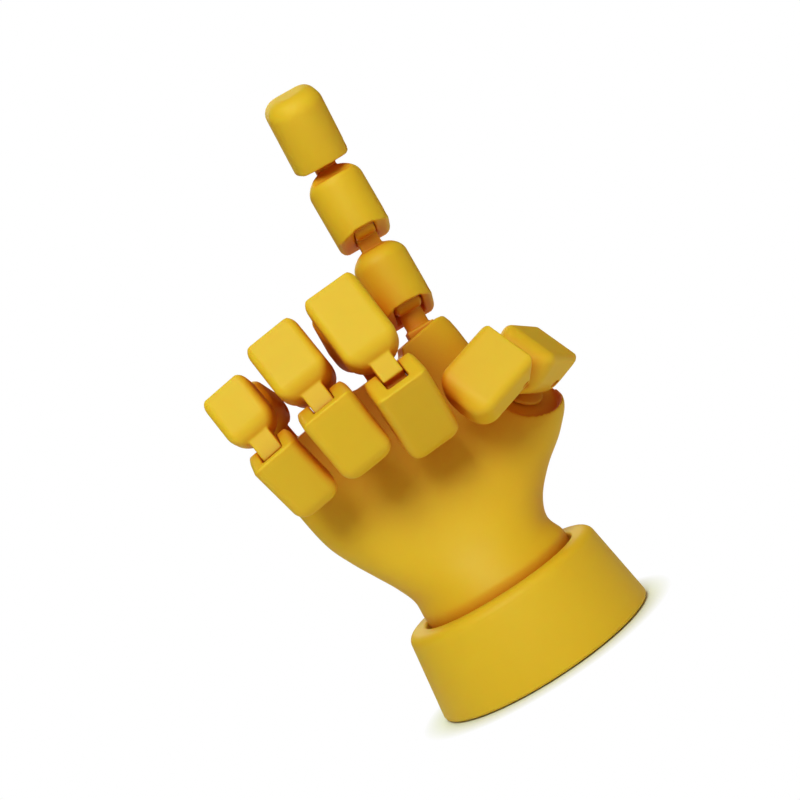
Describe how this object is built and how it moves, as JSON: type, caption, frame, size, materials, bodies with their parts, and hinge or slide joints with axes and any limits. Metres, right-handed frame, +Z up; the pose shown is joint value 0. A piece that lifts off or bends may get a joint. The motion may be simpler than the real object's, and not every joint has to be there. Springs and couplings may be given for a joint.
{
  "type": "posable hand model",
  "caption": "Jointed model of a right hand on a round stand; the fingers and thumb hold any pose by friction for drawing reference or display.",
  "frame": {"origin": "centre of the foot pad's underside, on the stand's axis and on the table", "axes": "+Z up along the stand's axis; -Y the way the palm faces; +X towards the thumb's side"},
  "size_m": [0.1144, 0.0976, 0.2098],
  "materials": {
    "plastic": "smooth satin, saffron yellow, moulded",
    "rubber": "matt dark pad",
    "steel": "plain zinc-plated",
    "brass": "turned",
    "nylon": "natural, plain"
  },
  "bodies": {
    "base": {"base_cup": "plastic", "foot_pad": "rubber", "spring_washer": "steel", "friction_washer": "nylon"},
    "hand": {"palm": "plastic", "pivot_insert": "brass", "pivot_bolt": "steel", "index_splay_pin": "steel", "middle_splay_pin": "steel", "ring_splay_pin": "steel", "little_splay_pin": "steel", "thumb_shaft_pin": "steel"},
    "index_knuckle": {"index_knuckle": "plastic"},
    "index_proximal": {"index_proximal": "plastic", "index_proximal_pin": "steel"},
    "index_middle": {"index_middle": "plastic", "index_middle_pin": "steel"},
    "index_distal": {"index_distal": "plastic", "index_distal_pin": "steel"},
    "middle_knuckle": {"middle_knuckle": "plastic"},
    "middle_proximal": {"middle_proximal": "plastic", "middle_proximal_pin": "steel"},
    "middle_middle": {"middle_middle": "plastic", "middle_middle_pin": "steel"},
    "middle_distal": {"middle_distal": "plastic", "middle_distal_pin": "steel"},
    "ring_knuckle": {"ring_knuckle": "plastic"},
    "ring_proximal": {"ring_proximal": "plastic", "ring_proximal_pin": "steel"},
    "ring_middle": {"ring_middle": "plastic", "ring_middle_pin": "steel"},
    "ring_distal": {"ring_distal": "plastic", "ring_distal_pin": "steel"},
    "little_knuckle": {"little_knuckle": "plastic"},
    "little_proximal": {"little_proximal": "plastic", "little_proximal_pin": "steel"},
    "little_middle": {"little_middle": "plastic", "little_middle_pin": "steel"},
    "little_distal": {"little_distal": "plastic", "little_distal_pin": "steel"},
    "thumb_knuckle": {"thumb_knuckle": "plastic"},
    "thumb_proximal": {"thumb_proximal": "plastic", "thumb_proximal_pin": "steel"},
    "thumb_distal": {"thumb_distal": "plastic", "thumb_distal_pin": "steel"}
  },
  "joints": [
    {"name": "wrist_swivel", "type": "hinge", "parent": "base", "child": "hand", "pos_m": [0, 0, 0.03], "axis": [0, 0, 1], "continuous": true},
    {"name": "index_splay", "type": "hinge", "parent": "hand", "child": "index_knuckle", "pos_m": [0.02392, -0.002, 0.11331], "axis": [0, -1, 0], "range_deg": [-6, 2]},
    {"name": "index_knuckle_raise", "type": "hinge", "parent": "index_knuckle", "child": "index_proximal", "pos_m": [0.0246, -0.002, 0.1288], "axis": [-0.999, 0, 0.0436], "range_deg": [-75, 0]},
    {"name": "index_middle_flex", "type": "hinge", "parent": "index_proximal", "child": "index_middle", "pos_m": [0.02587, -0.002, 0.15797], "axis": [0.999, 0, -0.0436], "range_deg": [0, 93]},
    {"name": "index_tip_flex", "type": "hinge", "parent": "index_middle", "child": "index_distal", "pos_m": [0.02706, -0.002, 0.18525], "axis": [0.999, 0, -0.0436], "range_deg": [-26, 38]},
    {"name": "middle_splay", "type": "hinge", "parent": "hand", "child": "middle_knuckle", "pos_m": [0.00391, -0.0013, 0.10722], "axis": [0, 1, 0], "range_deg": [-3, 3]},
    {"name": "middle_knuckle_raise", "type": "hinge", "parent": "middle_knuckle", "child": "middle_proximal", "pos_m": [0.0031, -0.0013, 0.1227], "axis": [-0.9986, 0, -0.0523], "range_deg": [-5, 67.5]},
    {"name": "middle_middle_flex", "type": "hinge", "parent": "middle_proximal", "child": "middle_middle", "pos_m": [0.0024, -0.03364, 0.13608], "axis": [0.9986, 0, 0.0523], "range_deg": [-91, 2]},
    {"name": "middle_tip_flex", "type": "hinge", "parent": "middle_middle", "child": "middle_distal", "pos_m": [0.00392, -0.04507, 0.10709], "axis": [0.9986, 0, 0.0523], "range_deg": [-60.5, 2]},
    {"name": "ring_splay", "type": "hinge", "parent": "hand", "child": "ring_knuckle", "pos_m": [-0.01583, -0.001, 0.10619], "axis": [0.052, 0.9986, 0.0057], "range_deg": [-3, 3]},
    {"name": "ring_knuckle_raise", "type": "hinge", "parent": "ring_knuckle", "child": "ring_proximal", "pos_m": [-0.0175, -0.001, 0.1216], "axis": [-0.9928, 0.0523, -0.1079], "range_deg": [-4, 68]},
    {"name": "ring_middle_flex", "type": "hinge", "parent": "ring_proximal", "child": "ring_middle", "pos_m": [-0.02043, -0.03156, 0.13372], "axis": [0.9928, -0.0523, 0.1079], "range_deg": [-87.5, 5.5]},
    {"name": "ring_tip_flex", "type": "hinge", "parent": "ring_middle", "child": "ring_distal", "pos_m": [-0.01846, -0.04216, 0.1105], "axis": [0.9928, -0.0523, 0.1079], "range_deg": [-45.5, 18.5]},
    {"name": "little_splay", "type": "hinge", "parent": "hand", "child": "little_knuckle", "pos_m": [-0.03489, -0.0016, 0.10326], "axis": [0.1206, 0.9925, 0.0174], "range_deg": [-8, 3]},
    {"name": "little_knuckle_raise", "type": "hinge", "parent": "little_knuckle", "child": "little_proximal", "pos_m": [-0.0371, -0.0016, 0.1186], "axis": [-0.9824, 0.1219, -0.1416], "range_deg": [-3, 69]},
    {"name": "little_middle_flex", "type": "hinge", "parent": "little_proximal", "child": "little_middle", "pos_m": [-0.04177, -0.02801, 0.12825], "axis": [0.9824, -0.1219, 0.1416], "range_deg": [-91.5, 1.5]},
    {"name": "little_tip_flex", "type": "hinge", "parent": "little_middle", "child": "little_distal", "pos_m": [-0.03966, -0.03543, 0.10722], "axis": [0.9824, -0.1219, 0.1416], "range_deg": [-45.5, 18.5]},
    {"name": "thumb_swivel", "type": "hinge", "parent": "hand", "child": "thumb_knuckle", "pos_m": [0.0479, -0.0102, 0.0866], "axis": [0.6383, -0.5936, 0.4902], "range_deg": [-25, 45]},
    {"name": "thumb_flex", "type": "hinge", "parent": "thumb_knuckle", "child": "thumb_proximal", "pos_m": [0.0479, -0.0102, 0.0866], "axis": [-0.2873, 0.4071, 0.867], "range_deg": [0, 70]},
    {"name": "thumb_tip_flex", "type": "hinge", "parent": "thumb_proximal", "child": "thumb_distal", "pos_m": [0.0364, -0.03193, 0.09299], "axis": [-0.2873, 0.4071, 0.867], "range_deg": [-8, 62]}
  ]
}
